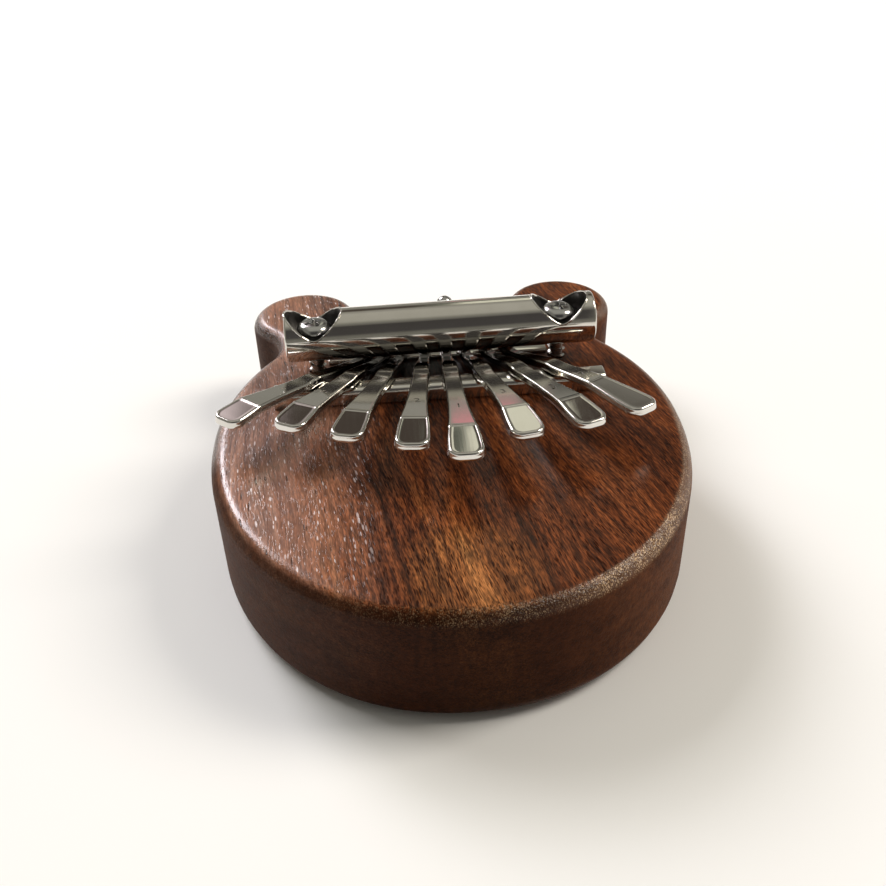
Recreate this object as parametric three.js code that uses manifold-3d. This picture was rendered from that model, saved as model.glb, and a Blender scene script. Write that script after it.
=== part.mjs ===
// Small eight-key mbira (thumb piano) with an animal-head wooden body: round lower body,
// two round ears, a round cross bar that clamps eight fanned steel tines over two bridges,
// and a sound chamber routed in from the back and closed by an inset board.
// Millimetres, +Z up (out of the playing face), +Y towards the ears, +X to the player's right
// when the ears point away. The body lies on its back on Z = 0.
import * as THREE from 'three';
import { mergeVertices } from 'three/addons/utils/BufferGeometryUtils.js';
import Module from 'manifold-3d';

// ---------- driving dimensions ----------
const BODY_HALF_W = 40.0;      // half of the 80 mm body width
const BODY_FRONT = 47.6;       // body centre to the rounded front end
const BODY_BACK = 43.6;        // body centre to the forehead between the ears
const FRONT_POWER = 2.12;      // the front half is a slightly squared ellipse
const BODY_T = 20.8;           // body thickness
const EDGE_TOP = 2.6;          // hand-rounded upper edge
const EDGE_BOTTOM = 3.2;       // rounded lower edge
const EAR_X = 26.4;            // ear centres
const EAR_Y = 43.3;
const EAR_R = 10.5;
const FILLET_OUT = 8.0;        // concave corner between cheek and ear
const FILLET_IN = 5.0;         // concave corner between ear and forehead
const CHAMBER_Y = -17.0;       // sound chamber, an oval pocket from the back
const CHAMBER_A = 30.0;
const CHAMBER_B = 22.5;
const SOUNDBOARD_T = 4.6;      // wood left above the chamber
const LEDGE = 3.2;             // depth and width of the step that the back board sits on
const BOARD_T = 2.8;
const SOUND_HOLE_R = 7.0;
const GAP = 0.3;               // clearance left between pieces that touch
const BAR_Y = 19.55;           // clamp bar axis
const BAR_X = 0.3;
const BAR_RISE = 7.5;          // axis height above the playing face
const BAR_R = 4.68;
const BAR_LEN = 56.2;
const BAR_YAW = 1.4;           // degrees, the bar sits very slightly askew
const SCREW_X = 22.35;         // clamp screws left and right of SCREW_MID
const SCREW_MID = -0.25;
const POCKET_R = 4.56;         // flat-bottomed pockets in the top of the bar for the screw heads
const POCKET_STRETCH = 0.54;    // each pocket is drawn out this much along the bar
const POCKET_FLOOR = 0.35;     // pocket floor above the bar's axis
const HEAD_R = 3.1;
const HEAD_H = 2.4;
const SHANK_R = 1.5;
const SCREW_LEN = 19.5;
const FRONT_BRIDGE = { x0: -30.0, x1: 28.6, y0: 6.2, y1: 10.4, h: 3.0 };
const REAR_BRIDGE = { x0: -20.8, x1: 20.3, y0: 21.0, y1: 22.9, h: 0.75 };
const TINE_T = 1.3;            // tine thickness
const BRIDGE_Y = 8.3;          // where the tines cross the front bridge
// x where the axis crosses BRIDGE_Y, fan angle in degrees, free length from the bridge to the tip,
// distance from the bridge to the crease, slope of the shaft up to it and of the paddle down after it in degrees
const TINES = [
  { x: -24.1, angle: -40.0, free: 19.6, crease: 13.3, rise: 10.2, dip: 1.0 },
  { x: -16.9, angle: -28.3, free: 20.3, crease: 13.8, rise: 10.0, dip: 1.0 },
  { x: -10.6, angle: -15.9, free: 23.5, crease: 16.2, rise: 10.0, dip: 1.0 },
  { x: -4.0, angle: -5.8, free: 27.2, crease: 19.65, rise: 10.0, dip: 1.0 },
  { x: 1.25, angle: 0.1, free: 31.5, crease: 23.7, rise: 10.0, dip: 1.0 },
  { x: 7.0, angle: 10.3, free: 25.9, crease: 17.9, rise: 10.1, dip: 1.0 },
  { x: 13.4, angle: 20.8, free: 24.7, crease: 16.9, rise: 9.8, dip: 1.0 },
  { x: 20.1, angle: 31.2, free: 22.2, crease: 10.0, rise: 10.0, dip: -2.8 },
];
const PIN = { x: 2.45, y: 39.6, headR: 2.25, headH: 3.8, shankR: 1.1, shankL: 7.0 };

const CENTRE_Y = (EAR_Y + EAR_R - BODY_FRONT) / 2;   // middle of the overall length

// ---------- materials ----------
const wood = new THREE.MeshStandardMaterial({ color: 0x6b3320, roughness: 0.35, metalness: 0.0 });
const innerWood = new THREE.MeshStandardMaterial({ color: 0x7a4429, roughness: 0.6, metalness: 0.0 });
const chrome = new THREE.MeshStandardMaterial({ color: 0xcfcac0, roughness: 0.12, metalness: 1.0 });
const steel = new THREE.MeshStandardMaterial({ color: 0xbcb9b0, roughness: 0.2, metalness: 1.0 });
const screwSteel = new THREE.MeshStandardMaterial({ color: 0xc9c6bf, roughness: 0.25, metalness: 1.0 });

const rad = THREE.MathUtils.degToRad;
const wasm = await Module();
wasm.setup();

// ---------- solids ----------
function toSolid(geometry) {
  const g = geometry.clone();
  for (const name of Object.keys(g.attributes)) if (name !== 'position') g.deleteAttribute(name);
  const m = mergeVertices(g, 1e-4);
  const index = m.index ? m.index.array : Uint32Array.from({ length: m.attributes.position.count }, (_, i) => i);
  const tri = [];
  for (let i = 0; i < index.length; i += 3) {
    const [a, b, c] = [index[i], index[i + 1], index[i + 2]];
    if (a !== b && b !== c && a !== c) tri.push(a, b, c);
  }
  return new wasm.Manifold(new wasm.Mesh({
    numProp: 3,
    vertProperties: Float32Array.from(m.attributes.position.array),
    triVerts: Uint32Array.from(tri),
  }));
}

function toGeometry(solid) {
  const mesh = solid.getMesh();
  const g = new THREE.BufferGeometry();
  const p = new Float32Array((mesh.vertProperties.length / mesh.numProp) * 3);
  for (let i = 0; i < p.length / 3; i++) {
    for (let k = 0; k < 3; k++) p[i * 3 + k] = mesh.vertProperties[i * mesh.numProp + k];
  }
  g.setAttribute('position', new THREE.BufferAttribute(p, 3));
  g.setIndex(Array.from(mesh.triVerts));
  return g;
}

// closed body through a stack of rings that all have the same number of points
function loft(rings) {
  const n = rings[0].length;
  const pos = [];
  for (const r of rings) for (const p of r) pos.push(p.x, p.y, p.z);
  const idx = [];
  for (let k = 0; k + 1 < rings.length; k++) {
    for (let i = 0; i < n; i++) {
      const a = k * n + i, b = k * n + (i + 1) % n, c = a + n, d = b + n;
      idx.push(a, b, d, a, d, c);
    }
  }
  const cap = (ring, base, flip, axes) => {
    const flat = ring.map((p) => new THREE.Vector2(p[axes[0]], p[axes[1]]));
    for (const [a, b, c] of THREE.ShapeUtils.triangulateShape(flat, [])) {
      const ccw = (flat[b].x - flat[a].x) * (flat[c].y - flat[a].y) - (flat[c].x - flat[a].x) * (flat[b].y - flat[a].y) > 0;
      if (ccw !== flip) idx.push(base + a, base + b, base + c); else idx.push(base + a, base + c, base + b);
    }
  };
  return { pos, idx, cap, n };
}

function finish(l) {
  const g = new THREE.BufferGeometry();
  g.setAttribute('position', new THREE.Float32BufferAttribute(l.pos, 3));
  g.setIndex(l.idx);
  return g;
}

// vertical prism or stepped solid with rings that climb in Z
function stack(rings) {
  const l = loft(rings);
  l.cap(rings[0], 0, true, ['x', 'y']);
  l.cap(rings[rings.length - 1], (rings.length - 1) * l.n, false, ['x', 'y']);
  return finish(l);
}

function ovalRing(cx, cy, a, b, z, n = 64) {
  const r = [];
  for (let i = 0; i < n; i++) {
    const t = (i / n) * Math.PI * 2;
    r.push(new THREE.Vector3(cx + a * Math.cos(t), cy + b * Math.sin(t), z));
  }
  return r;
}

function prism(cx, cy, a, b, z0, z1, n = 64) {
  return stack([ovalRing(cx, cy, a, b, z0, n), ovalRing(cx, cy, a, b, z1, n)]);
}

// lathe about Z from [radius, z] pairs that start and end on the axis, rising
function turned(profile, segments) {
  const g = new THREE.LatheGeometry(profile.map(([r, z]) => new THREE.Vector2(r, z)), segments);
  g.rotateX(Math.PI / 2);
  return g;
}

// ---------- body outline ----------
// one side of the outline (x >= 0) from the front tip round to the middle of the forehead,
// moved inward by "inset"
function sideOutline(inset) {
  const a = BODY_HALF_W - inset, bf = BODY_FRONT - inset, bb = BODY_BACK - inset;
  const re = EAR_R - inset, fo = FILLET_OUT + inset, fi = FILLET_IN + inset;
  const ear = new THREE.Vector2(EAR_X, EAR_Y);
  const onOval = (t) => new THREE.Vector2(a * Math.cos(t), bb * Math.sin(t));
  const ovalNormal = (t) => new THREE.Vector2(Math.cos(t) / a, Math.sin(t) / bb).normalize();
  // parameter at which a circle of radius f touches both the oval and the ear
  const touch = (f, lo, hi) => {
    const miss = (t) => onOval(t).addScaledVector(ovalNormal(t), f).distanceTo(ear) - (re + f);
    let [x, y] = [lo, hi];
    for (let i = 0; i < 60; i++) {
      const m = (x + y) / 2;
      if (miss(m) * miss(x) > 0) x = m; else y = m;
    }
    return (x + y) / 2;
  };
  const earAngle = Math.atan2(EAR_Y / bb, EAR_X / a);
  const tOut = touch(fo, 0.15, earAngle), tIn = touch(fi, Math.PI / 2 - 0.02, earAngle);
  const pts = [];
  const nFront = 34;
  for (let i = 0; i < nFront; i++) {
    const t = -Math.PI / 2 + (i / nFront) * (Math.PI / 2);
    pts.push(new THREE.Vector2(a * Math.pow(Math.abs(Math.cos(t)), 2 / FRONT_POWER),
      -bf * Math.pow(Math.abs(Math.sin(t)), 2 / FRONT_POWER)));
  }
  pts[0].x = 0;
  const nCheek = 12;
  for (let i = 0; i <= nCheek; i++) pts.push(onOval((tOut * i) / nCheek));
  const arc = (c, r, a0, a1, n) => {
    for (let i = 1; i <= n; i++) {
      const t = a0 + ((a1 - a0) * i) / n;
      pts.push(new THREE.Vector2(c.x + r * Math.cos(t), c.y + r * Math.sin(t)));
    }
  };
  const angleTo = (c, p) => Math.atan2(p.y - c.y, p.x - c.x);
  // cheek to ear
  const co = onOval(tOut).addScaledVector(ovalNormal(tOut), fo);
  let a0 = angleTo(co, onOval(tOut)), a1 = angleTo(co, ear);
  while (a1 - a0 > Math.PI) a1 -= 2 * Math.PI;
  while (a1 - a0 < -Math.PI) a1 += 2 * Math.PI;
  arc(co, fo, a0, a1, 7);
  // round the ear
  const ci = onOval(tIn).addScaledVector(ovalNormal(tIn), fi);
  a0 = angleTo(ear, co); a1 = angleTo(ear, ci);
  while (a1 < a0) a1 += 2 * Math.PI;
  arc(ear, re, a0, a1, 22);
  // ear to forehead
  a0 = angleTo(ci, ear); a1 = angleTo(ci, onOval(tIn));
  while (a1 - a0 > Math.PI) a1 -= 2 * Math.PI;
  while (a1 - a0 < -Math.PI) a1 += 2 * Math.PI;
  arc(ci, fi, a0, a1, 6);
  const nBrow = 6;
  for (let i = 1; i <= nBrow; i++) pts.push(onOval(tIn + ((Math.PI / 2 - tIn) * i) / nBrow));
  pts[pts.length - 1].x = 0;
  return pts;
}

function outlineRing(inset, z) {
  const side = sideOutline(inset);
  const ring = side.map((p) => new THREE.Vector3(p.x, p.y, z));
  for (let i = side.length - 2; i > 0; i--) ring.push(new THREE.Vector3(-side[i].x, side[i].y, z));
  return ring;
}

// ---------- body block ----------
function buildBody() {
  const rings = [];
  for (const deg of [0, 35, 65, 90]) {
    const t = rad(deg);
    rings.push(outlineRing(EDGE_BOTTOM * (1 - Math.sin(t)), EDGE_BOTTOM * (1 - Math.cos(t))));
  }
  for (const deg of [0, 22, 45, 68, 90]) {
    const t = rad(deg);
    rings.push(outlineRing(EDGE_TOP * (1 - Math.cos(t)), BODY_T - EDGE_TOP * (1 - Math.sin(t))));
  }
  let body = toSolid(stack(rings));
  body = body.subtract(toSolid(prism(0, CHAMBER_Y, CHAMBER_A + LEDGE, CHAMBER_B + LEDGE, -1, LEDGE, 72)));
  body = body.subtract(toSolid(prism(0, CHAMBER_Y, CHAMBER_A, CHAMBER_B, LEDGE - 1, BODY_T - SOUNDBOARD_T, 72)));
  for (const s of [-1, 1]) {
    const p = screwSpot(s);
    body = body.subtract(toSolid(prism(p.x, p.y, SHANK_R + GAP, SHANK_R + GAP, screwTipZ() - GAP, BODY_T + 1, 16)));
  }
  body = body.subtract(toSolid(prism(PIN.x, PIN.y, PIN.shankR + GAP, PIN.shankR + GAP, BODY_T - PIN.shankL - GAP, BODY_T + 1, 14)));
  return toGeometry(body);
}

function buildBackBoard() {
  const oval = toSolid(prism(0, CHAMBER_Y, CHAMBER_A + LEDGE - GAP, CHAMBER_B + LEDGE - GAP, 0.1, 0.1 + BOARD_T, 72));
  return toGeometry(oval.subtract(toSolid(prism(0, CHAMBER_Y, SOUND_HOLE_R, SOUND_HOLE_R, -1, BOARD_T + 1, 40))));
}

// ---------- clamp bar and its screws ----------
const AXIS_Z = BODY_T + BAR_RISE;
const SEAT_Z = AXIS_Z + POCKET_FLOOR + 0.1;          // underside of the screw heads
function screwTipZ() { return SEAT_Z - SCREW_LEN; }
function screwSpot(side) {
  const along = side * SCREW_X + SCREW_MID - BAR_X;
  return new THREE.Vector2(BAR_X + along * Math.cos(rad(BAR_YAW)), BAR_Y + along * Math.sin(rad(BAR_YAW)));
}

function buildBar() {
  const half = BAR_LEN / 2, c = 0.35;
  const profile = [[0, -half], [BAR_R - c, -half], [BAR_R, -half + c], [BAR_R, half - c], [BAR_R - c, half], [0, half]];
  const rod = new THREE.LatheGeometry(profile.map(([r, z]) => new THREE.Vector2(r, z)), 56);
  rod.rotateZ(-Math.PI / 2);
  let solid = toSolid(rod);
  for (const s of [-1, 1]) {
    const x = s * SCREW_X + SCREW_MID - BAR_X;
    const open = [];
    for (let i = 0; i < 44; i++) {
      const t = ((i + 0.5) / 44) * Math.PI * 2;
      open.push([x + (POCKET_R + POCKET_STRETCH) * Math.cos(t), POCKET_R * Math.sin(t)]);
    }
    solid = solid.subtract(toSolid(stack([
      open.map(([u, v]) => new THREE.Vector3(u, v, POCKET_FLOOR)),
      open.map(([u, v]) => new THREE.Vector3(u, v, BAR_R + 1))])));
    solid = solid.subtract(toSolid(prism(x, 0, SHANK_R + GAP, SHANK_R + GAP, -BAR_R - 1, POCKET_FLOOR + 0.5, 20)));
  }
  return toGeometry(solid);
}

function buildScrew() {
  const profile = [[0, -SCREW_LEN], [0.35, -SCREW_LEN + 0.2], [SHANK_R - 0.2, -SCREW_LEN + 3.2], [SHANK_R, -SCREW_LEN + 4.2], [SHANK_R, 0],
    [HEAD_R - 0.1, 0], [HEAD_R, 0.2], [HEAD_R, 0.9], [HEAD_R - 0.25, 1.5], [HEAD_R - 0.85, 2.0], [HEAD_R - 1.9, 2.32], [0, HEAD_H]];
  let screw = toSolid(turned(profile, 32));
  for (const [w, h] of [[3.4, 0.75], [0.75, 3.4]]) {
    const cut = new THREE.BoxGeometry(w, h, 2.2);
    cut.translate(0, 0, HEAD_H - 1.3 + 1.1);
    screw = screw.subtract(toSolid(cut));
  }
  return toGeometry(screw);
}

// ---------- bridges ----------
function bar(b, top) {
  // flat bar along X with a rounded upper front and back edge
  const r = top, lift = 0.1;
  const s = new THREE.Shape();
  s.moveTo(b.y0, lift);
  s.lineTo(b.y1, lift);
  s.lineTo(b.y1, b.h - r);
  s.absarc(b.y1 - r, b.h - r, r, 0, Math.PI / 2, false);
  s.lineTo(b.y0 + r, b.h);
  s.absarc(b.y0 + r, b.h - r, r, Math.PI / 2, Math.PI, false);
  s.closePath();
  const g = new THREE.ExtrudeGeometry(s, { depth: b.x1 - b.x0, bevelEnabled: false, curveSegments: 6 });
  g.applyMatrix4(new THREE.Matrix4().makeBasis(new THREE.Vector3(0, 1, 0), new THREE.Vector3(0, 0, 1), new THREE.Vector3(1, 0, 0)));
  g.translate(b.x0, 0, BODY_T);
  return toGeometry(toSolid(g));
}

// ---------- tines ----------
// Side line of a tine: height of its underside above the playing face at distance u from
// the front bridge, measured forward along the tine's own axis (behind the bridge u < 0).
function tineLine(t) {
  const c = Math.cos(rad(t.angle));
  const barU = -(BAR_Y - BRIDGE_Y) / c, rearU = -(22.0 - BRIDGE_Y) / c, endU = -(23.6 - BRIDGE_Y) / c;
  const creaseU = t.crease, paddle = t.free - t.crease;
  const rise = Math.tan(rad(t.rise)), dip = Math.tan(rad(t.dip));
  const base = 3.32;
  const pts = [[endU, 1.8], [rearU, 1.4], [barU - 1.2, 0.94], [barU + 0.4, 0.7], [barU + 2.6, 1.0], [-4.6, 2.52], [-1.6, 3.28],
    [0.6, base + 0.12], [2.2, base + 0.36]];
  const at22 = base + 0.36;
  const creaseZ = at22 + (creaseU - 2.2) * rise;
  for (const k of [0.33, 0.66]) pts.push([2.2 + (creaseU - 0.5 - 2.2) * k, at22 + (creaseU - 0.5 - 2.2) * k * rise]);
  pts.push([creaseU - 0.5, creaseZ - 0.5 * rise], [creaseU + 0.1, creaseZ - 0.02], [creaseU + 0.7, creaseZ - 0.02]);
  for (const v of [paddle * 0.4, paddle * 0.62, paddle - 2.0, paddle - 1.4, paddle - 0.85, paddle - 0.4, paddle - 0.12, paddle]) {
    pts.push([creaseU + v, creaseZ - 0.02 - (v - 0.7) * dip]);
  }
  return pts;
}

// half width along the tine, at distance u from the bridge; s is the distance left to the tip
function tineHalfWidth(t, u) {
  const s = t.free - u;
  const table = [[0, 2.9], [2.6, 2.9], [5.0, 2.78], [7.6, 2.52], [11.5, 2.15], [16, 1.88], [22, 1.72]];
  let w = 1.72;
  for (let i = 0; i + 1 < table.length; i++) {
    const [[s0, w0], [s1, w1]] = [table[i], table[i + 1]];
    if (s >= s0 && s <= s1) w = w0 + ((w1 - w0) * (s - s0)) / (s1 - s0);
  }
  // the part behind the bridge narrows, because the fan closes up towards the rear
  if (u < 0) w = Math.min(w, 1.72) - 0.62 * Math.min(1, -u / 11);
  const r = 2.05;
  if (s < r) w -= r - Math.sqrt(Math.max(0, r * r - (r - s) ** 2));
  return w;
}

function buildTine(t) {
  const ch = 0.28;
  const line = tineLine(t);
  const rings = line.map(([u, z], i) => {
    const a = line[Math.max(0, i - 1)], b = line[Math.min(line.length - 1, i + 1)];
    const slope = Math.atan2(b[1] - a[1], b[0] - a[0]);
    const w = tineHalfWidth(t, u);
    const nu = -Math.sin(slope), nz = Math.cos(slope);
    const end = i === 0 || i === line.length - 1;
    const section = [[-w, ch], [-w + ch, 0], [w - ch, 0], [w, ch], [w, TINE_T - ch], [w - ch, TINE_T], [-w + ch, TINE_T], [-w, TINE_T - ch]];
    return section.map(([v, h]) => {
      const hh = end ? THREE.MathUtils.clamp(h, 0.18, TINE_T - 0.18) : h;
      const k = end ? 0 : 1;
      return { u: u + nu * hh * k, v, z: z + nz * hh };
    });
  });
  const ax = Math.sin(rad(t.angle)), ay = -Math.cos(rad(t.angle));      // forward along the tine
  const toWorld = (p) => new THREE.Vector3(t.x + ax * p.u - ay * p.v, BRIDGE_Y + ay * p.u + ax * p.v, BODY_T + p.z);
  const world = rings.map((r) => r.map(toWorld));
  const l = loft(world);
  // fan caps at the rear end and at the tip
  const n = l.n, last = (world.length - 1) * n;
  for (let i = 1; i + 1 < n; i++) {
    l.idx.push(0, i + 1, i);
    l.idx.push(last, last + i, last + i + 1);
  }
  const g = finish(l);
  const solid = toSolid(g);
  if (solid.volume() > 0) return toGeometry(solid);
  for (let i = 0; i < l.idx.length; i += 3) [l.idx[i + 1], l.idx[i + 2]] = [l.idx[i + 2], l.idx[i + 1]];
  return toGeometry(toSolid(finish(l)));
}

// ---------- forehead pin ----------
function buildPin() {
  const { headR: r, headH: h } = PIN;
  const lift = 0.1;
  const profile = [[0, -PIN.shankL], [PIN.shankR - 0.3, -PIN.shankL + 0.9], [PIN.shankR, -PIN.shankL + 2], [PIN.shankR, lift], [r, lift], [r, 0.55]];
  for (const deg of [25, 50, 72]) profile.push([r * Math.cos(rad(deg)), 0.55 + (h - 0.55) * Math.sin(rad(deg))]);
  profile.push([0, h]);
  return toGeometry(toSolid(turned(profile, 28)));
}

// ---------- assembly ----------
const mbira = new THREE.Group();
mbira.name = 'mbira';
const inner = new THREE.Group();
inner.position.set(0, -CENTRE_Y, 0);
mbira.add(inner);

function add(name, geometry, material, parent = inner) {
  const g = geometry.index ? geometry.toNonIndexed() : geometry;
  g.computeVertexNormals();
  const mesh = new THREE.Mesh(g, material);
  mesh.name = name;
  parent.add(mesh);
  return mesh;
}

add('body_block', buildBody(), wood);
add('back_board', buildBackBoard(), innerWood);
const clampBar = add('clamp_bar', buildBar(), chrome);
clampBar.position.set(BAR_X, BAR_Y, AXIS_Z);
clampBar.rotation.z = rad(BAR_YAW);
for (const [name, side] of [['clamp_screw_left', -1], ['clamp_screw_right', 1]]) {
  const screw = add(name, buildScrew(), screwSteel);
  const p = screwSpot(side);
  screw.position.set(p.x, p.y, SEAT_Z);
  screw.rotation.z = rad(side < 0 ? 28 : 12);
}
add('front_bridge', bar(FRONT_BRIDGE, 1.0), chrome);
add('rear_bridge', bar(REAR_BRIDGE, 0.35), chrome);
TINES.forEach((t, i) => add(`tine_${i + 1}`, buildTine(t), steel));
const pin = add('forehead_pin', buildPin(), screwSteel);
pin.position.set(PIN.x, PIN.y, BODY_T);

export default mbira;
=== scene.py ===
# Pocket mbira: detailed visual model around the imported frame.
import bpy
import bmesh
import math
from mathutils import Vector, Matrix

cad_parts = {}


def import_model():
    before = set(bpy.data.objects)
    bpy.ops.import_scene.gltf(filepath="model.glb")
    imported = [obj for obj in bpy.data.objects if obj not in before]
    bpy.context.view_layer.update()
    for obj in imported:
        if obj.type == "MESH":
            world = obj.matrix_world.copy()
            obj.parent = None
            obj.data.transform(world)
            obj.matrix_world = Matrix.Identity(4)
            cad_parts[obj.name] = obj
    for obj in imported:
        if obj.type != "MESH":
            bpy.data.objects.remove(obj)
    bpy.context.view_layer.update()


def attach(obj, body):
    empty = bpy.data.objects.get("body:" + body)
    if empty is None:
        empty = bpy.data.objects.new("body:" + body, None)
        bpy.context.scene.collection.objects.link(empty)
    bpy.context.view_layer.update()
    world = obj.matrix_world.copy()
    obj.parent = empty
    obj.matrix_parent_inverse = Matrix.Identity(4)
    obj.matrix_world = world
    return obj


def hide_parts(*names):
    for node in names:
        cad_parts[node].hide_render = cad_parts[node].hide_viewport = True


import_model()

MM = 0.001
CENTRE_Y = 3.1             # body centre sits this far in front of the frame's origin (mm)
BODY_T = 20.8
rad = math.radians


def P(x, y, z):
    """millimetres about the body's centre to metres in the frame"""
    return Vector((x * MM, (y - CENTRE_Y) * MM, z * MM))


# ------------------------------------------------------------------ camera
def set_camera():
    f_px, dist, el, az, roll, u0, v0 = 971.9, 172.42, 36.0, -3.59, -1.62, 449.43, 469.75
    el, az, roll = rad(el), rad(az), rad(roll)
    back = Vector((math.sin(az) * math.cos(el), -math.cos(az) * math.cos(el), math.sin(el)))
    spot = Vector((0, 0, 10.0)) + back * dist
    fwd = -back
    right = fwd.cross(Vector((0, 0, 1))).normalized()
    up = right.cross(fwd)
    r2 = math.cos(roll) * right + math.sin(roll) * up
    u2 = -math.sin(roll) * right + math.cos(roll) * up
    rows = Matrix((r2, u2, fwd))
    aim = Vector(((u0 - 443) / f_px, -(v0 - 443) / f_px, 1.0)).normalized()
    turn = Vector((0, 0, 1)).rotation_difference(aim).to_matrix()
    rows = turn @ rows
    x_axis, y_axis, z_axis = rows[0], rows[1], -rows[2]
    m = Matrix((x_axis, y_axis, z_axis)).transposed().to_4x4()
    m.translation = P(spot.x, spot.y, spot.z)
    data = bpy.data.cameras.new("camera")
    cam = bpy.data.objects.new("camera", data)
    bpy.context.scene.collection.objects.link(cam)
    cam.matrix_world = m
    data.sensor_width = 36.0
    data.lens = f_px / 886 * 36.0
    data.clip_start, data.clip_end = 0.005, 20.0
    bpy.context.scene.camera = cam


set_camera()


# ------------------------------------------------------------------ node helper
class Nodes:
    def __init__(self, tree):
        self.t = tree
        tree.nodes.clear()

    def new(self, kind, props=None, ins=None):
        n = self.t.nodes.new(kind)
        for k, v in (props or {}).items():
            setattr(n, k, v)
        for k, v in (ins or {}).items():
            self.put(n.inputs[k], v)
        return n

    def put(self, socket, v):
        if isinstance(v, bpy.types.NodeSocket):
            self.t.links.new(v, socket)
        elif isinstance(v, (tuple, list)) and len(v) == 3 and len(getattr(socket, "default_value", v)) == 4:
            socket.default_value = (*v, 1.0)
        else:
            socket.default_value = v

    def math(self, op, a, b=None, c=None, clamp=False):
        n = self.new("ShaderNodeMath", {"operation": op, "use_clamp": clamp})
        for i, v in enumerate((a, b, c)):
            if v is not None:
                self.put(n.inputs[i], v)
        return n.outputs[0]

    def vmath(self, op, a, b=None, scale=None):
        n = self.new("ShaderNodeVectorMath", {"operation": op})
        self.put(n.inputs[0], a)
        if b is not None:
            self.put(n.inputs[1], b)
        if scale is not None:
            self.put(n.inputs["Scale"], scale)
        return n.outputs[0] if op not in ("DOT_PRODUCT", "LENGTH") else n.outputs["Value"]

    def noise(self, vec, scale, detail=2.0, rough=0.5, distortion=0.0):
        n = self.new("ShaderNodeTexNoise", {}, {"Vector": vec, "Scale": scale, "Detail": detail, "Roughness": rough, "Distortion": distortion})
        return n.outputs[0]

    def ramp(self, fac, stops, interp="LINEAR"):
        n = self.new("ShaderNodeValToRGB", {}, {"Fac": fac})
        r = n.color_ramp
        r.interpolation = interp
        while len(r.elements) < len(stops):
            r.elements.new(0.5)
        for e, (p, c) in zip(r.elements, stops):
            e.position = p
            e.color = (*c, 1.0) if isinstance(c, (tuple, list)) else (c, c, c, 1.0)
        return n.outputs[0]

    def mix(self, fac, a, b, blend="MIX"):
        n = self.new("ShaderNodeMix", {"data_type": "RGBA", "blend_type": blend})
        self.put(n.inputs[0], fac)
        self.put(n.inputs[6], a)
        self.put(n.inputs[7], b)
        return n.outputs[2]

    def step(self, v, lo, hi, a=0.0, b=1.0):
        n = self.new("ShaderNodeMapRange", {"interpolation_type": "SMOOTHSTEP"})
        for i, q in enumerate((v, lo, hi, a, b)):
            self.put(n.inputs[i], q)
        return n.outputs[0]


def material(name):
    m = bpy.data.materials.new(name)
    m.use_nodes = True
    n = Nodes(m.node_tree)
    out = n.new("ShaderNodeOutputMaterial")
    bsdf = n.new("ShaderNodeBsdfPrincipled")
    m.node_tree.links.new(bsdf.outputs[0], out.inputs[0])
    return m, n, bsdf


# ------------------------------------------------------------------ materials
WOOD_STOPS = [(0.36, (0.040, 0.0098, 0.0026)), (0.44, (0.080, 0.0205, 0.0052)), (0.50, (0.112, 0.0300, 0.0080)),
              (0.56, (0.145, 0.0420, 0.0115)), (0.64, (0.195, 0.0660, 0.0200))]
SIDE_DARK, SIDE_LIGHT = (0.0130, 0.0034, 0.0012), (0.040, 0.0115, 0.0040)


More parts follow.
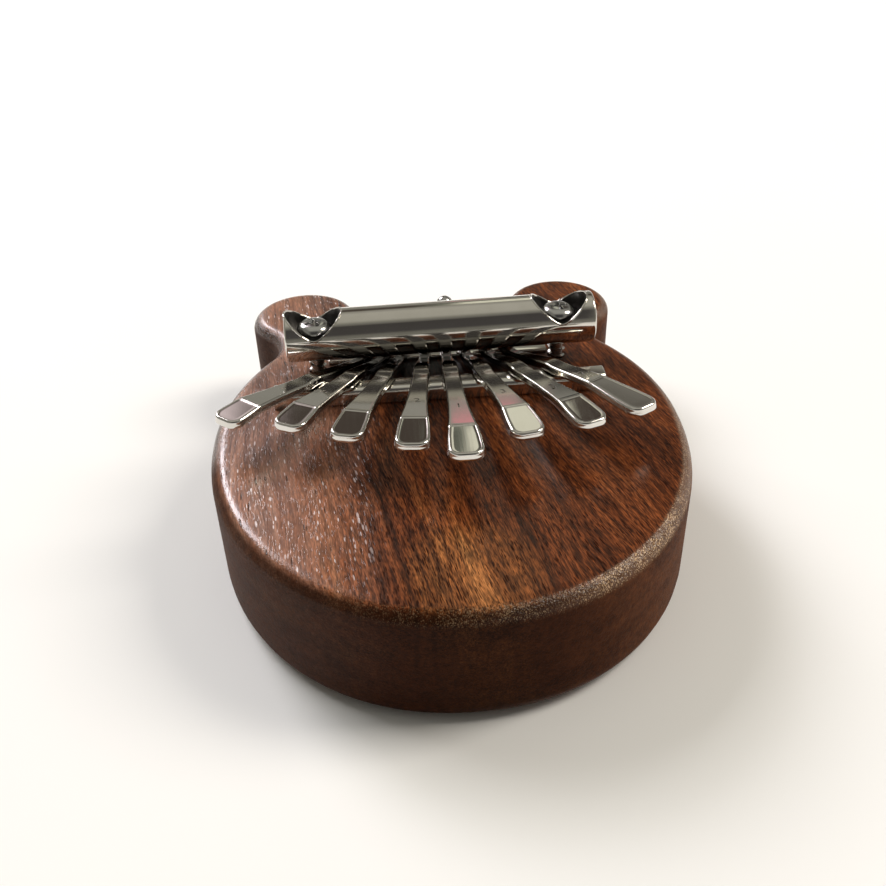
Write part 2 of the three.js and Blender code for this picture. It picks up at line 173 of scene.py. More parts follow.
def wood_material(name, lift=1.0, coat=0.85, offset=(0.0, 0.0, 0.0), end_dark=1.0, figure=True):
    m, n, b = material(name)
    co = n.new("ShaderNodeTexCoord").outputs["Object"]
    here = n.new("ShaderNodeSeparateXYZ", {}, {0: co}).outputs
    co = n.vmath("ADD", co, offset)
    x, y, z = n.new("ShaderNodeSeparateXYZ", {}, {0: co}).outputs
    # the grain runs front to back, turned a little and fanning out towards the right front
    slow = n.noise(n.vmath("MULTIPLY", co, (1.0, 0.55, 1.0)), 46.0, 1.0, 0.4)
    waver = n.math("MULTIPLY", n.math("SUBTRACT", slow, 0.5), 0.0050)
    fan = n.math("ADD", n.math("MULTIPLY", n.math("MULTIPLY", x, y), 3.2), n.math("MULTIPLY", y, 0.20))
    xg = n.math("ADD", n.math("ADD", x, waver), fan)

    def grain(ys):
        c = n.new("ShaderNodeCombineXYZ", {}, {0: xg, 1: n.math("MULTIPLY", y, ys), 2: z})
        return c.outputs[0]

    def grey(v):
        return n.new("ShaderNodeCombineColor", {}, {0: v, 1: v, 2: v}).outputs[0]

    def blob(cx, cy, rx, ry):
        dx = n.math("MULTIPLY", n.math("SUBTRACT", here[0], cx), 1 / rx)
        dy = n.math("MULTIPLY", n.math("SUBTRACT", here[1], cy), 1 / ry)
        r2 = n.math("ADD", n.math("MULTIPLY", dx, dx), n.math("MULTIPLY", dy, dy))
        return n.step(n.math("ADD", r2, n.math("MULTIPLY", n.math("SUBTRACT", band, 0.5), 1.1)), 1.25, 0.25)

    broad = n.noise(grain(0.10), 70.0, 2.0, 0.45)
    band = n.noise(grain(0.06), 260.0, 3.0, 0.55, 0.3)
    streak = n.noise(grain(0.05), 950.0, 3.0, 0.6)
    fibre = n.noise(grain(0.10), 2900.0, 2.0, 0.65)
    hair = n.noise(grain(0.12), 6200.0, 1.0, 0.5)
    mixv = n.math("ADD", n.math("MULTIPLY", broad, 0.42), n.math("ADD", n.math("MULTIPLY", band, 0.33), n.math("MULTIPLY", streak, 0.25)))
    base = n.ramp(mixv, WOOD_STOPS)
    if figure:
        # painted sheen: the left flank is lifted paler and pinker in place of window glare; an orange-tan patch at the
        # front, dark stripes left of the middle
        base = n.mix(n.step(here[0], -0.010, -0.034), base, n.mix(1.0, base, (1.95, 2.20, 2.70), "MULTIPLY"))
        # painted glare: pale pink streaks along the grain on the left flank
        base = n.mix(n.math("MULTIPLY", n.step(here[0], -0.008, -0.032, 0.0, 0.34), n.step(streak, 0.3, 0.7, 0.5, 1.4)), base, (0.36, 0.233, 0.178))
        base = n.mix(n.math("MULTIPLY", blob(0.0015, -0.0430, 0.0100, 0.0125), 0.80), base, n.mix(1.0, base, (1.80, 2.35, 2.45), "MULTIPLY"))
        for x0, wide, deep in ((-0.0168, 0.0006, 0.75), (-0.0150, 0.0004, 0.55), (-0.0128, 0.0009, 0.50), (-0.0085, 0.0004, 0.45), (-0.0048, 0.0005, 0.40)):
            off = n.math("ABSOLUTE", n.math("SUBTRACT", n.math("ADD", xg, n.math("MULTIPLY", n.math("SUBTRACT", band, 0.5), 0.0016)), x0))
            line = n.step(off, wide, 0.0, 0.0, deep)
            base = n.mix(n.math("MULTIPLY", line, n.step(streak, 0.30, 0.55, 0.35, 1.0)), base, (0.020, 0.0062, 0.0028))
        base = n.mix(n.math("MULTIPLY", n.step(n.math("ABSOLUTE", n.math("SUBTRACT", xg, -0.0140)), 0.0055, 0.0), 0.42), base, n.mix(1.0, base, (0.50, 0.46, 0.46), "MULTIPLY"))
    fine = n.math("MULTIPLY", n.step(fibre, 0.32, 0.68, 0.42, 1.68), n.step(hair, 0.30, 0.70, 0.58, 1.44))
    if figure:
        calm = n.step(here[0], -0.010, -0.028, 0.0, 0.55)
        fine = n.math("ADD", n.math("MULTIPLY", fine, n.math("SUBTRACT", 1.0, calm)), calm)
    base = n.mix(1.0, base, grey(fine), "MULTIPLY")
    # thin dark veins
    vein = n.noise(grain(0.035), 430.0, 4.0, 0.55, 0.2)
    vein = n.math("ABSOLUTE", n.math("SUBTRACT", vein, 0.5))
    veinf = n.step(vein, 0.0, 0.020, 0.50, 0.0)
    veinf = n.math("MULTIPLY", veinf, n.step(broad, 0.42, 0.60, 1.0, 0.15))
    base = n.mix(veinf, base, (0.022, 0.0065, 0.0028))

    # open pores: short dark strokes along the grain, dots on the end grain
    def pores(cx, cy, lo, big):
        pc = n.new("ShaderNodeCombineXYZ", {}, {0: n.math("MULTIPLY", xg, cx), 1: n.math("MULTIPLY", y, cy), 2: n.math("MULTIPLY", z, cx)}).outputs[0]
        vor = n.new("ShaderNodeTexVoronoi", {"feature": "F1", "voronoi_dimensions": "3D"}, {"Vector": pc, "Scale": 1.0, "Randomness": 1.0})
        pick = n.new("ShaderNodeSeparateColor", {}, {0: vor.outputs["Color"]}).outputs[0]
        size = n.math("MULTIPLY", n.step(pick, lo, 1.0, 0.05, big), n.step(band, 0.35, 0.62, 1.15, 0.80))
        return n.step(n.math("SUBTRACT", size, vor.outputs["Distance"]), -0.06, 0.12)

    dense = n.step(here[0], -0.024, -0.006, 0.22, 1.0) if figure else 0.8
    pore = n.math("MULTIPLY", pores(4200.0, 560.0, 0.00, 0.46), dense)
    pore = n.math("MAXIMUM", pore, n.math("MULTIPLY", pores(2500.0, 330.0, 0.66, 0.36), 0.95))
    base = n.mix(n.math("MULTIPLY", pore, 0.80), base, (0.012, 0.0030, 0.0012))
    if figure:
        # painted glints: pale whitish specks in the pores on the flat top of the left flank, standing in for lacquer
        # highlights
        glint_bead = n.math("MULTIPLY", pores(2900.0, 560.0, 0.50, 0.40), n.step(here[0], -0.010, -0.020))
        glint_bead = n.math("MULTIPLY", glint_bead, n.step(streak, 0.42, 0.56, 0.15, 1.0))
        flat = n.new("ShaderNodeSeparateXYZ", {}, {0: n.new("ShaderNodeNewGeometry").outputs["Normal"]}).outputs[2]
        glint_bead = n.math("MULTIPLY", glint_bead, n.step(flat, 0.93, 0.985))
        base = n.mix(n.math("MULTIPLY", glint_bead, 0.85), base, (0.78, 0.68, 0.68))
    # walls and the rounded edge are darker: partly end grain that drinks more finish, partly painted shade
    geo = n.new("ShaderNodeNewGeometry").outputs["Normal"]
    ns = n.new("ShaderNodeSeparateXYZ", {}, {0: geo}).outputs
    side = n.step(n.math("ABSOLUTE", ns[2]), 0.985, 0.72)
    wall = n.step(n.math("ABSOLUTE", ns[2]), 0.60, 0.12)
    mottle = n.step(n.noise(co, 1100.0, 3.0, 0.6), 0.35, 0.68, 0.0, 1.0)
    bandz = n.noise(n.vmath("MULTIPLY", co, (0.5, 1.0, 1.6)), 150.0, 3.0, 0.55)
    endcol = n.mix(n.math("ADD", n.math("MULTIPLY", mottle, 0.50), n.step(bandz, 0.35, 0.65, 0.0, 0.50)), SIDE_DARK, SIDE_LIGHT)
    # painted light: the walls on the right are lifted brighter and golden, where the right lamp falls
    painted_light_right = n.step(here[0], 0.006, 0.036, 0.0, 1.0)
    endcol = n.mix(painted_light_right, endcol, n.mix(1.0, endcol, (3.9, 4.6, 4.8), "MULTIPLY"))
    base = n.mix(n.math("MULTIPLY", side, 0.86 * end_dark), base, endcol)
    # painted sparkle highlights: pale golden flecks on the rounded edge, gathered into a painted hot spot at the right
    # front
    sparkle_paint = n.noise(n.vmath("MULTIPLY", co, (1.0, 0.8, 0.8)), 5200.0, 2.0, 0.65)
    patch = n.noise(co, 420.0, 2.0, 0.6)
    sparkle_paint = n.step(n.math("ADD", sparkle_paint, n.math("MULTIPLY", n.math("SUBTRACT", patch, 0.5), 0.30)), 0.50, 0.70)
    round_ = n.math("MULTIPLY", n.step(n.math("ABSOLUTE", ns[2]), 0.985, 0.90), n.step(n.math("ABSOLUTE", ns[2]), 0.02, 0.45))
    toright = n.step(here[0], -0.026, 0.022, 0.12, 1.0)
    tofront = n.step(here[1], 0.010, -0.020, 0.12, 1.0)
    hx = n.math("MULTIPLY", n.math("SUBTRACT", here[0], 0.0250), 1 / 0.015)
    hy = n.math("MULTIPLY", n.math("ADD", here[1], 0.0360), 1 / 0.014)
    painted_hotspot = n.step(n.math("ADD", n.math("MULTIPLY", hx, hx), n.math("MULTIPLY", hy, hy)), 1.6, 0.1, 0.42, 1.0)
    upper = n.step(here[2], 0.011, 0.015)
    fm = n.math("MULTIPLY", n.math("MULTIPLY", sparkle_paint, round_), n.math("MULTIPLY", toright, tofront))
    fm = n.math("MULTIPLY", n.math("MULTIPLY", fm, painted_hotspot), upper)
    # painted light: the rounded edge on the right is tinted golden, where the right lamp catches it
    base = n.mix(n.math("MULTIPLY", n.math("MULTIPLY", round_, upper), n.step(here[0], 0.004, 0.026, 0.0, 0.55)), base, (0.150, 0.078, 0.041))
    base = n.mix(n.math("MULTIPLY", fm, 0.95), base, (0.78, 0.52, 0.30))
    if figure:
        # painted shade under the bar, between the tines: the wood there is darkened
        g = n.math("MULTIPLY", n.step(n.math("ABSOLUTE", here[0]), 0.026, 0.018), n.math("MULTIPLY", n.step(here[1], 0.0045, 0.0075), n.step(here[1], 0.0205, 0.0165)))
        g = n.math("MULTIPLY", g, upper)
        base = n.mix(n.math("MULTIPLY", g, n.step(n.math("ABSOLUTE", ns[2]), 0.8, 0.95, 0.0, 0.72)), base, (0.010, 0.0045, 0.0030))
    if lift != 1.0:
        base = n.mix(1.0, base, (lift, lift, lift), "MULTIPLY")
    n.put(b.inputs["Base Color"], base)
    rough = n.math("ADD", n.step(fibre, 0.3, 0.7, 0.42, 0.54), n.math("MULTIPLY", side, 0.10))
    n.put(b.inputs["Roughness"], rough)
    n.put(b.inputs["Specular IOR Level"], 0.04)
    gloss = n.math("MULTIPLY", coat, n.math("SUBTRACT", 1.0, n.math("MULTIPLY", wall, 0.93)))
    if figure:
        gloss = n.math("MULTIPLY", gloss, n.math("MAXIMUM", n.step(here[0], -0.004, -0.020, 0.60, 1.0), n.math("MULTIPLY", round_, n.step(here[0], 0.0, 0.020, 1.0, 0.45))))
    shine = n.step(here[0], -0.0115, -0.0185) if figure else 0.0
    gloss = n.math("MULTIPLY", gloss, n.math("SUBTRACT", 1.0, n.math("MULTIPLY", pore, n.math("SUBTRACT", 0.92, n.math("MULTIPLY", shine, 0.92)))))
    front = n.math("MULTIPLY", round_, n.math("MULTIPLY", n.step(here[0], 0.012, -0.006), n.step(here[1], -0.007, -0.015)))
    gloss = n.math("MULTIPLY", gloss, n.math("SUBTRACT", 1.0, n.math("MULTIPLY", front, 0.97)))
    n.put(b.inputs["Coat Weight"], gloss)
    left = n.step(here[0], -0.010, -0.030, 0.0, 0.40) if figure else 0.0
    glint = n.math("MULTIPLY", round_, n.step(here[0], 0.006, 0.024, 0.0, 0.22))
    n.put(b.inputs["Coat IOR"], n.math("ADD", n.math("ADD", 1.55, left), glint))
    n.put(b.inputs["Coat Roughness"], n.math("SUBTRACT", n.step(n.noise(co, 160.0, 2.0), 0.3, 0.7, 0.21, 0.27), n.math("MAXIMUM", n.math("MULTIPLY", pore, n.math("MULTIPLY", shine, 0.15)), n.math("MULTIPLY", round_, 0.09))))
    # the lacquer sinks into the pores and follows the fibre
    grit = n.noise(co, 2600.0, 2.0, 0.6)
    h = n.math("ADD", n.math("MULTIPLY", pore, -0.5), n.math("MULTIPLY", fibre, 0.45))
    h = n.math("ADD", h, n.math("MULTIPLY", grit, n.math("MULTIPLY", side, 1.4)))
    bump = n.new("ShaderNodeBump", {}, {"Strength": 0.8, "Distance": 0.00008, "Height": h})
    n.put(b.inputs["Normal"], bump.outputs[0])
    coat_h = n.math("ADD", n.math("MULTIPLY", fibre, 0.20), n.math("MULTIPLY", hair, 0.12))
    coat_h = n.math("ADD", coat_h, n.math("MULTIPLY", n.math("MULTIPLY", pore, shine), -1.45))
    coat_h = n.math("ADD", coat_h, n.math("MULTIPLY", grit, n.math("MULTIPLY", round_, 2.6)))
    cb = n.new("ShaderNodeBump", {}, {"Strength": 0.85, "Distance": 0.00009, "Height": coat_h})
    n.put(b.inputs["Coat Normal"], cb.outputs[0])
    return m


def metal_material(name, colour, rough=0.09, along=(1.0, 0.0, 0.0), line_scale=2500.0, tarnish=0.35, scratch=0.35, shade_paint_from=None):
    m, n, b = material(name)
    co = n.new("ShaderNodeTexCoord").outputs["Object"]
    stretch = tuple(0.03 if a > 0.5 else 1.0 for a in along)
    lines = n.noise(n.vmath("MULTIPLY", co, stretch), line_scale, 3.0, 0.6)
    cloud = n.noise(co, 130.0, 3.0, 0.55)
    speck = n.noise(co, 2300.0, 2.0, 0.5)
    shade = n.step(cloud, 0.3, 0.75, 1.0, 1.0 - 0.22 * tarnish)
    col = n.mix(1.0, colour, n.new("ShaderNodeCombineColor", {}, {0: shade, 1: n.math("POWER", shade, 1.05), 2: n.math("POWER", shade, 1.2)}).outputs[0], "MULTIPLY")
    pit = n.step(speck, 0.70, 0.76, 0.0, 0.35 * tarnish)
    col = n.mix(pit, col, (0.20, 0.17, 0.13))
    # painted shade: the metal darkens beyond a given y, where the bar shades the tines
    if shade_paint_from is not None:
        yy = n.new("ShaderNodeSeparateXYZ", {}, {0: co}).outputs[1]
        col = n.mix(n.step(yy, shade_paint_from[0], shade_paint_from[1], 0.0, shade_paint_from[2]), col, (0.035, 0.032, 0.030))
    n.put(b.inputs["Base Color"], col)
    n.put(b.inputs["Metallic"], 1.0)
    r = n.math("ADD", n.step(lines, 0.35, 0.75, rough, rough + 0.10 * scratch), n.math("MULTIPLY", pit, 0.3))
    n.put(b.inputs["Roughness"], r)
    h = n.math("ADD", n.math("MULTIPLY", lines, scratch), n.math("MULTIPLY", cloud, 0.6))
    bump = n.new("ShaderNodeBump", {}, {"Strength": 0.10, "Distance": 0.00003, "Height": h})
    n.put(b.inputs["Normal"], bump.outputs[0])
    return m


WOOD = wood_material("wood_body")
BACK_WOOD = wood_material("wood_back", lift=1.15, coat=0.35, offset=(0.31, 0.12, 0.4), end_dark=0.6, figure=False)
CHROME = metal_material("chrome_bar", (0.78, 0.755, 0.70), 0.085)
BRIDGE_METAL = metal_material("chrome_bridge", (0.80, 0.78, 0.73), 0.12)
# painted shade on the tines behind the front bridge, under the bar
TINE_STEEL = metal_material("tine_steel", (0.74, 0.72, 0.68), 0.07, along=(0, 1, 0), tarnish=0.25, shade_paint_from=(0.0068, 0.0100, 0.88))
SCREW_METAL = metal_material("screw_metal", (0.56, 0.56, 0.55), 0.16, tarnish=0.6)
# unpolished bore metal, its colour darkened as painted shade inside the pockets
SHADED_BORE_METAL = metal_material("shaded_bore_metal", (0.17, 0.165, 0.16), 0.30, tarnish=0.9)
ENGRAVED = metal_material("engraved_steel", (0.42, 0.40, 0.37), 0.28, tarnish=0.5)


# ------------------------------------------------------------------ mesh helpers
def make_object(name, verts, faces, mats, smooth_angle=35.0):
    me = bpy.data.meshes.new(name)
    me.from_pydata([tuple(v) for v in verts], [], faces)
    me.validate()
    bm = bmesh.new()
    bm.from_mesh(me)
    bmesh.ops.remove_doubles(bm, verts=bm.verts, dist=1e-7)
    bmesh.ops.recalc_face_normals(bm, faces=bm.faces)
    bm.to_mesh(me)
    bm.free()
    o = bpy.data.objects.new(name, me)
    bpy.context.scene.collection.objects.link(o)
    for m in mats:
        me.materials.append(m)
    shade(o, smooth_angle)
    return o


def shade(o, angle=35.0):
    me = o.data
    for p in me.polygons:
        p.use_smooth = True
    me.set_sharp_from_angle(angle=rad(angle))


def apply_modifiers(o, angle=35.0):
    dg = bpy.context.evaluated_depsgraph_get()
    me = bpy.data.meshes.new_from_object(o.evaluated_get(dg), depsgraph=dg)
    old = o.data
    o.modifiers.clear()
    o.data = me
    bpy.data.meshes.remove(old)
    shade(o, angle)


def bevel(o, width, segments=3, angle=35.0, profile=0.5):
    m = o.modifiers.new("bevel", "BEVEL")
    m.width, m.segments, m.limit_method, m.angle_limit, m.profile = width, segments, "ANGLE", rad(angle), profile
    m.harden_normals = False
    m.use_clamp_overlap = True
    return m


def cut(o, cutters, solver="EXACT", angle=35.0, operation="DIFFERENCE"):
    for c in cutters:
        m = o.modifiers.new("cut", "BOOLEAN")
        m.operation, m.solver, m.object = operation, solver, c
        m.material_mode = "TRANSFER" if c.data.materials else "INDEX"
    apply_modifiers(o, angle)
    for c in cutters:
        d = c.data
        bpy.data.objects.remove(c)
        bpy.data.meshes.remove(d)


def tidy(o, near=6e-7):
    """Merge points that fall together after cutting, and drop the faces without area they leave."""
    bm = bmesh.new()
    bm.from_mesh(o.data)
    bmesh.ops.remove_doubles(bm, verts=bm.verts, dist=near)
    bmesh.ops.dissolve_degenerate(bm, edges=bm.edges, dist=near)
    bm.to_mesh(o.data)
    bm.free()


def loft(rings, cap=True):
    n = len(rings[0])
    verts = [v for r in rings for v in r]
    faces = []
    for k in range(len(rings) - 1):
        for i in range(n):
            a, b = k * n + i, k * n + (i + 1) % n
            faces.append((a, b, b + n, a + n))
    if cap:
        faces.append(tuple(range(n - 1, -1, -1)))
        faces.append(tuple((len(rings) - 1) * n + i for i in range(n)))
    return verts, faces


def oval(cx, cy, a, b, z, n):
    return [P(cx + a * math.cos(2 * math.pi * i / n), cy + b * math.sin(2 * math.pi * i / n), z) for i in range(n)]


def prism(name, cx, cy, a, b, z0, z1, n=96, mats=()):
    v, f = loft([oval(cx, cy, a, b, z0, n), oval(cx, cy, a, b, z1, n)])
    return make_object(name, v, f, mats)


def lathe(profile, n, place):
    """profile of (radius, height) from the axis to the axis"""
    rings = []
    verts, faces = [], []
    idx = []
    for r, h in profile:
        if r < 1e-6:
            idx.append([len(verts)])
            verts.append(place(0, 0, h))
        else:
            idx.append(list(range(len(verts), len(verts) + n)))
            for i in range(n):
                t = 2 * math.pi * i / n
                verts.append(place(r * math.cos(t), r * math.sin(t), h))
    for a, b in zip(idx[:-1], idx[1:]):
        for i in range(n):
            j = (i + 1) % n
            if len(a) == 1 and len(b) == 1:
                continue
            if len(a) == 1:
                faces.append((a[0], b[i], b[j]))
            elif len(b) == 1:
                faces.append((a[i], a[j], b[0]))
            else:
                faces.append((a[i], a[j], b[j], b[i]))
    return verts, faces


# ------------------------------------------------------------------ body outline
HALF_W, FRONT, BACK, POWER = 40.0, 47.6, 43.6, 2.12
EDGE_TOP, EDGE_BOTTOM = 2.6, 3.2
EAR_X, EAR_Y, EAR_R, FIL_OUT, FIL_IN = 26.4, 43.3, 10.5, 8.0, 5.0


def side_outline(inset):
    a, bf, bb = HALF_W - inset, FRONT - inset, BACK - inset
    re, fo, fi = EAR_R - inset, FIL_OUT + inset, FIL_IN + inset
    ear = Vector((EAR_X, EAR_Y))

    def on(t):
        return Vector((a * math.cos(t), bb * math.sin(t)))

    def nor(t):
        return Vector((math.cos(t) / a, math.sin(t) / bb)).normalized()

    def touch(f, lo, hi):
        def miss(t):
            return (on(t) + nor(t) * f - ear).length - (re + f)
        for _ in range(60):
            m = (lo + hi) / 2
            if miss(m) * miss(lo) > 0:
                lo = m
            else:
                hi = m
        return (lo + hi) / 2

    mid = math.atan2(EAR_Y / bb, EAR_X / a)
    t_out, t_in = touch(fo, 0.15, mid), touch(fi, math.pi / 2 - 0.02, mid)
    pts = []
    for i in range(110):
        t = -math.pi / 2 + i / 110 * math.pi / 2
        pts.append(Vector((a * abs(math.cos(t)) ** (2 / POWER), -bf * abs(math.sin(t)) ** (2 / POWER))))
    pts[0].x = 0.0
    pts += [on(t_out * i / 44) for i in range(45)]

    def arc(c, r, a0, a1, k):
        for i in range(1, k + 1):
            t = a0 + (a1 - a0) * i / k
            pts.append(Vector((c.x + r * math.cos(t), c.y + r * math.sin(t))))

    def ang(c, p):
        return math.atan2(p.y - c.y, p.x - c.x)

    def near(a0, a1):
        while a1 - a0 > math.pi:
            a1 -= 2 * math.pi
        while a1 - a0 < -math.pi:
            a1 += 2 * math.pi
        return a1

    co = on(t_out) + nor(t_out) * fo
    a0 = ang(co, on(t_out))
    arc(co, fo, a0, near(a0, ang(co, ear)), 22)
    ci = on(t_in) + nor(t_in) * fi
    a0, a1 = ang(ear, co), ang(ear, ci)
    while a1 < a0:
        a1 += 2 * math.pi
    arc(ear, re, a0, a1, 72)
    a0 = ang(ci, ear)
    arc(ci, fi, a0, near(a0, ang(ci, on(t_in))), 18)
    for i in range(1, 19):
        pts.append(on(t_in + (math.pi / 2 - t_in) * i / 18))
    pts[-1].x = 0.0
    return pts


def outline(inset, z):
    side = side_outline(inset)
    return [P(p.x, p.y, z) for p in side] + [P(-p.x, p.y, z) for p in side[-2:0:-1]]


BAR_X, BAR_Y, BAR_RISE, BAR_R, BAR_LEN, BAR_YAW = 0.3, 19.55, 7.5, 4.68, 56.2, 1.4
SCREW_X, SCREW_MID, POCKET_R, POCKET_STRETCH, POCKET_FLOOR = 22.35, -0.25, 4.56, 0.54, 0.35
AXIS_Z = BODY_T + BAR_RISE
SEAT_Z = AXIS_Z + POCKET_FLOOR + 0.02
CH_Y, CH_A, CH_B, LEDGE = -17.0, 30.0, 22.5, 3.2


def screw_spot(side):
    along = side * SCREW_X + SCREW_MID - BAR_X
    return BAR_X + along * math.cos(rad(BAR_YAW)), BAR_Y + along * math.sin(rad(BAR_YAW))


def build_body():
    rings = []
    for i in range(8):
        t = math.pi / 2 * i / 7
        rings.append(outline(EDGE_BOTTOM * (1 - math.sin(t)), EDGE_BOTTOM * (1 - math.cos(t))))
    for k in (0.25, 0.5, 0.75):
        rings.append(outline(0.0, EDGE_BOTTOM + (BODY_T - EDGE_TOP - EDGE_BOTTOM) * k))
    for i in range(9):
        t = math.pi / 2 * i / 8
        rings.append(outline(EDGE_TOP * (1 - math.cos(t)), BODY_T - EDGE_TOP * (1 - math.sin(t))))
    rings.append(outline(EDGE_TOP + 0.5, BODY_T))
    v, f = loft(rings)
    o = make_object("body_wood", v, f, [WOOD])
    cutters = [prism("c1", 0, CH_Y, CH_A + LEDGE, CH_B + LEDGE, -2, LEDGE, 128),
               prism("c2", 0, CH_Y, CH_A, CH_B, LEDGE - 1, BODY_T - 4.6, 128)]
    for s in (-1, 1):
        x, y = screw_spot(s)
        cutters.append(prism("c3", x, y, 1.75, 1.75, 9.0, BODY_T + 1, 28))
    cutters.append(prism("c4", 2.45, 39.6, 1.3, 1.3, BODY_T - 7.2, BODY_T + 1, 24))
    cut(o, cutters)
    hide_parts("body_block")
    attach(o, "case")
    return o


def build_board():
    n = 128
    v, f = loft([oval(0, CH_Y, CH_A + LEDGE - 0.32, CH_B + LEDGE - 0.32, 0.12, n), oval(0, CH_Y, CH_A + LEDGE - 0.32, CH_B + LEDGE - 0.32, 2.88, n)])
    o = make_object("back_board_wood", v, f, [BACK_WOOD])
    cut(o, [prism("h", 0, CH_Y, 7.0, 7.0, -2, 6, 72)])
    bevel(o, 0.0004, 3, 50)
    apply_modifiers(o, 40)
    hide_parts("back_board")
    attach(o, "case")


# ------------------------------------------------------------------ clamp bar
def bar_place(u, v, w):
    """u along the bar, v across (+Y), w up from the bar's axis"""
    c, s = math.cos(rad(BAR_YAW)), math.sin(rad(BAR_YAW))
    return P(BAR_X + c * u - s * v, BAR_Y + s * u + c * v, AXIS_Z + w)


def hoop(points, radius, n=10):
    """closed tube along a closed line of points (metres)"""
    k = len(points)
    rings = []
    for i in range(k):
        t = (points[(i + 1) % k] - points[i - 1]).normalized()
        out = Vector((0, 0, 1)).cross(t)
        out.normalize()
        up = t.cross(out)
        rings.append([points[i] + (out * math.cos(2 * math.pi * j / n) + up * math.sin(2 * math.pi * j / n)) * radius for j in range(n)])
    verts = [v for r in rings for v in r]
    faces = []
    for i in range(k):
        for j in range(n):
            a, b = i * n + j, i * n + (j + 1) % n
            c, d = ((i + 1) % k) * n + (j + 1) % n, ((i + 1) % k) * n + j
            faces.append((a, b, c, d))
    return verts, faces


def build_bar():
    half = BAR_LEN / 2
    prof = [(0, -half)]
    for i in range(6):
        t = math.pi / 2 * i / 5
        prof.append((BAR_R - 0.40 + 0.40 * math.sin(t), -half + 0.40 * (1 - math.cos(t))))
    for i in range(6):
        t = math.pi / 2 * i / 5
        prof.append((BAR_R - 0.40 + 0.40 * math.cos(t), half - 0.40 * (1 - math.sin(t))))
    prof.append((0, half))
    v, f = lathe(prof, 192, lambda a, b, h: bar_place(h, a, b))
    o = make_object("clamp_bar_chrome", v, f, [CHROME, SHADED_BORE_METAL])
    cutters, beads = [], []
    for s in (-1, 1):
        x = s * SCREW_X + SCREW_MID - BAR_X
        ring = []
        for i in range(144):
            t = 2 * math.pi * (i + 0.5) / 144
            ring.append((x + (POCKET_R + POCKET_STRETCH) * math.cos(t), POCKET_R * math.sin(t)))
        v, f = loft([[bar_place(a, b, POCKET_FLOOR) for a, b in ring], [bar_place(a, b, 6.0) for a, b in ring]])
        cutters.append(make_object("p", v, f, [SHADED_BORE_METAL]))
        # polished lip round the mouth of the pocket
        line = [bar_place(x + (a - x) * 1.0095, b * 1.003, math.sqrt(max(0.0, BAR_R ** 2 - b ** 2)) - 0.045) for a, b in ring]
        v, f = hoop(line, 0.172 * MM, 11)
        beads.append(make_object("glint_bead", v, f, [CHROME]))
        ring = [(x + 1.8 * math.cos(2 * math.pi * i / 36), 1.8 * math.sin(2 * math.pi * i / 36)) for i in range(36)]
        v, f = loft([[bar_place(a, b, -6.0) for a, b in ring], [bar_place(a, b, 1.0) for a, b in ring]])
        cutters.append(make_object("p", v, f, [SHADED_BORE_METAL]))
    cut(o, cutters, angle=30)
    cut(o, beads, angle=30, operation="UNION")
    tidy(o)
    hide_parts("clamp_bar")
    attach(o, "case")


# ------------------------------------------------------------------ screws
def build_screw(name, side, turn):
    cx, cy = screw_spot(side)

    def place(a, b, h):
        c, s = math.cos(rad(turn)), math.sin(rad(turn))
        return P(cx + c * a - s * b, cy + s * a + c * b, SEAT_Z + h)

    head = 3.1
    prof = [(0, -19.4), (0.4, -19.1), (1.15, -16.5), (1.2, -9.0)]
    prof += [(1.2, -0.4), (1.5, 0.0), (head - 0.12, 0.0), (head, 0.12), (head, 0.95)]
    for i in range(1, 9):
        t = math.pi / 2 * i / 9
        prof.append((head - 1.6 * (1 - math.cos(t)) - 0.25 * (i / 9) ** 2, 0.95 + 1.38 * math.sin(t)))
    prof += [(1.0, 2.385), (0, 2.4)]
    v, f = lathe(prof, 64, place)
    o = make_object(name, v, f, [SCREW_METAL])
    # tapered cross recess
    cutters = []
    for ang in (0, 90):
        c, s = math.cos(rad(ang)), math.sin(rad(ang))
        rings = []
        for h, l, w in ((0.75, 0.75, 0.20), (2.0, 1.62, 0.34), (3.2, 1.72, 0.40)):
            rings.append([place(c * a - s * b, s * a + c * b, h) for a, b in ((-l, -w), (l, -w), (l, w), (-l, w))])
        vv, ff = loft(rings)
        cutters.append(make_object("x", vv, ff, []))
    cut(o, cutters, angle=32)
    bevel(o, 0.00008, 2, 40)
    apply_modifiers(o, 32)
    tidy(o)
    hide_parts("clamp_screw_left" if side < 0 else "clamp_screw_right")
    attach(o, "case")
    # rolled thread: a spiral ridge round the shank
    verts, faces = [], []
    turns, seg, pitch = 8.0, 24, 1.35
    total = int(turns * seg)
    for i in range(total + 1):
        t = 2 * math.pi * i / seg
        h = -1.2 - pitch * i / seg
        grow = min(1.0, i / 10.0, (total - i) / 10.0 + 0.05)
        for r, dh in ((1.12, 0.28), (1.17 + 0.40 * grow, 0.03), (1.17 + 0.40 * grow, -0.03), (1.12, -0.28)):
            verts.append(place(r * math.cos(t), r * math.sin(t), h + dh))
    for i in range(total):
        for k in range(4):
            a, b = i * 4 + k, i * 4 + (k + 1) % 4
            faces.append((a, b, b + 4, a + 4))
    faces.append((0, 1, 2, 3))
    faces.append(tuple(total * 4 + k for k in (3, 2, 1, 0)))
    th = make_object(name + "_thread", verts, faces, [SCREW_METAL], 40)
    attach(th, "case")


